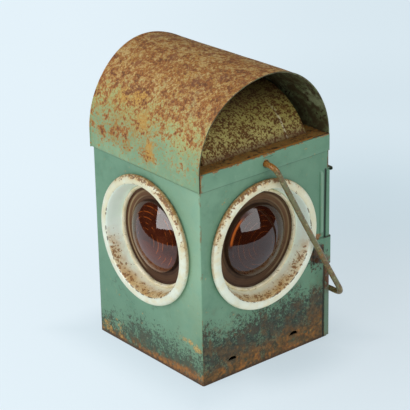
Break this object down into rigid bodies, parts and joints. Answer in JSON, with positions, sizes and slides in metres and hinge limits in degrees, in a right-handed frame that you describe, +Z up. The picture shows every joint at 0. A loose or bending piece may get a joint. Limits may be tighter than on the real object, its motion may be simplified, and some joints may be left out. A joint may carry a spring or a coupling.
{
  "type": "safety lantern",
  "caption": "Square sheet-metal road lantern with a barrel roof, enamelled bull's-eye lenses, sliding rear door, wire bail and a paraffin lamp inside.",
  "frame": {"origin": "middle of the base, on the surface that the lantern stands on", "axes": "+Z up, front lens faces -Y, rear door at +Y, bail pivots along X"},
  "size_m": [0.1824, 0.1644, 0.2787],
  "materials": {
    "body_paint": "worn sage-green paint with rust at edges and foot",
    "rusted_sheet": "rusted paint, matte",
    "arch_paint": "olive paint, rust speckled",
    "enamel": "white stove enamel, chipped and rust stained",
    "putty": "aged putty",
    "amber_glass": "moulded amber glass",
    "tinplate": "tarnished tinplate",
    "brass": "tarnished brass",
    "bail_paint": "worn green paint over brown wire",
    "cotton": "woven cotton"
  },
  "bodies": {
    "case": {"base_pan": "rusted_sheet", "front_wall": "body_paint", "right_wall": "body_paint", "left_wall": "body_paint", "rear_header": "body_paint", "guide_right": "body_paint", "guide_left": "body_paint", "strap_right": "body_paint", "strap_left": "body_paint", "strap_rivets": "rusted_sheet", "front_collar": "body_paint", "collar_right": "body_paint", "collar_left": "body_paint", "top_deck": "rusted_sheet", "roof_sheet": "rusted_sheet", "inner_arch": "arch_paint", "arch_end_front": "arch_paint", "arch_end_rear": "arch_paint", "bezel_front": "enamel", "bezel_right": "enamel", "bezel_left": "enamel", "seal_front": "putty", "seal_right": "putty", "seal_left": "putty", "lens_front": "amber_glass", "lens_right": "amber_glass", "lens_left": "amber_glass", "clamp_front": "tinplate", "clamp_right": "tinplate", "clamp_left": "tinplate", "clamp_screws": "brass", "font_ring": "tinplate", "font_cup": "tinplate", "font_top": "tinplate", "burner_collar": "brass", "burner": "brass", "flame_cone": "brass"},
    "cap": {"filler_cap": "brass"},
    "winder": {"winder_spindle": "brass", "winder_spurs": "brass", "winder_knob": "brass"},
    "wick": {"wick": "cotton"},
    "door": {"rear_door": "body_paint"},
    "handle": {"bail": "bail_paint", "bail_washers": "tinplate"}
  },
  "joints": [
    {"name": "bail_swing", "type": "hinge", "parent": "case", "child": "handle", "pos_m": [0, -0.001, 0.1946], "axis": [1, 0, 0], "range_deg": [0, 298]},
    {"name": "door_slide", "type": "slide", "parent": "case", "child": "door", "axis": [0, 0, 1], "range_m": [0, 0.15]},
    {"name": "winder_turn", "type": "hinge", "parent": "case", "child": "winder", "pos_m": [-0.0058, 0, 0.079], "axis": [0, -1, 0], "range_deg": [-40, 85]},
    {"name": "wick_rise", "type": "slide", "parent": "case", "child": "wick", "axis": [0, 0, 1], "range_m": [-0.003, 0.006]},
    {"name": "cap_turn", "type": "hinge", "parent": "case", "child": "cap", "pos_m": [-0.02378, 0.02141, 0.062], "axis": [0, 0, 1], "continuous": true}
  ],
  "couplings": [
    {"joint": "wick_rise", "follows": "winder_turn", "m_per_rad": 0.004}
  ]
}
